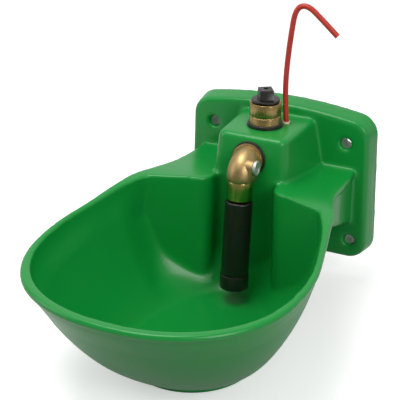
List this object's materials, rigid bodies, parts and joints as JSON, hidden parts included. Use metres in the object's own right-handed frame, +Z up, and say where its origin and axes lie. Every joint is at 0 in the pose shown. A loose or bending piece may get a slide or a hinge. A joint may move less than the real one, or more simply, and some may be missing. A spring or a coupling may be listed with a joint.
{
  "type": "livestock drinking bowl",
  "caption": "Wall-mounted moulded bowl with a tube-operated brass valve, an inlet manifold for pipe from above or below, and a heated floor with its lead",
  "frame": {"origin": "midpoint of the two upper bolt holes, on the wall plane", "axes": "X along the wall, the bowl reaches towards -Y, +Z up"},
  "size_m": [0.226, 0.3375, 0.2641],
  "materials": {
    "green_plastic": "satin gloss",
    "foot_plastic": "satin gloss",
    "cast_brass": "satin sand-cast",
    "turned_brass": "bright turned",
    "black_rubber": "matte",
    "black_plastic": "satin",
    "red_sheath": "satin",
    "pale_plastic": "satin",
    "zinc": "satin",
    "steel": "bright",
    "silicone": "matte",
    "foil_pad": "dull foil"
  },
  "bodies": {
    "bowl": {"bowl_body": "green_plastic", "base_cover": "foot_plastic", "pipe_manifold": "turned_brass", "manifold_nut_top": "turned_brass", "manifold_nut_front": "turned_brass", "inlet_gasket": "black_rubber", "elbow_gasket": "black_rubber", "valve_elbow": "cast_brass", "valve_collar": "turned_brass", "spring_retainer": "turned_brass", "valve_seat": "turned_brass", "inner_lead": "red_sheath", "supply_lead": "red_sheath", "lead_grommet": "pale_plastic", "lead_clips": "black_plastic", "heating_coil": "silicone", "thermostat": "black_plastic", "insulation_pad": "foil_pad", "cover_screws": "zinc"},
    "swivel": {"seat_ring": "black_rubber"},
    "tube": {"tube_head": "turned_brass", "push_tube": "black_plastic", "tube_tip": "black_plastic"},
    "valve": {"valve_stem": "steel", "valve_disc": "black_rubber", "valve_spring": "steel"},
    "plug_ring": {"plug_seal": "black_rubber"},
    "plug": {"blanking_plug": "black_plastic"},
    "screw_ring": {"screw_seal": "black_rubber"},
    "screw": {"flow_screw": "zinc"}
  },
  "joints": [
    {"name": "tube_swivel", "type": "hinge", "parent": "bowl", "child": "swivel", "pos_m": [0, -0.10208, -0.02498], "axis": [0, 0.1132, 0.9936], "continuous": true},
    {"name": "tube_tilt", "type": "hinge", "parent": "swivel", "child": "tube", "pos_m": [0, -0.10208, -0.02498], "axis": [1, 0, 0], "range_deg": [0, 5.01], "stiffness_Nm_per_rad": 1.5, "springref_deg": -2.86},
    {"name": "valve_lift", "type": "slide", "parent": "bowl", "child": "valve", "axis": [0, 0.1132, 0.9936], "range_m": [0, 0.00054], "deforming": ["valve_spring"]},
    {"name": "plug_lift", "type": "slide", "parent": "bowl", "child": "plug_ring", "axis": [0, 0, 1], "range_m": [0, 0.008]},
    {"name": "plug_turn", "type": "hinge", "parent": "plug_ring", "child": "plug", "pos_m": [0, -0.0504, 0.045], "axis": [0, 0, 1], "range_deg": [0, 1588]},
    {"name": "screw_advance", "type": "slide", "parent": "bowl", "child": "screw_ring", "axis": [1, 0, 0], "range_m": [0, 0.003]},
    {"name": "screw_turn", "type": "hinge", "parent": "screw_ring", "child": "screw", "pos_m": [0.0122, -0.0994, -0.00153], "axis": [1, 0, 0], "range_deg": [0, 1350.5]}
  ],
  "couplings": [
    {"joint": "tube_tilt", "follows": "valve_lift", "rad_per_m": 161.6},
    {"joint": "plug_turn", "follows": "plug_lift", "rad_per_m": 3463.7},
    {"joint": "screw_turn", "follows": "screw_advance", "rad_per_m": 7854}
  ]
}
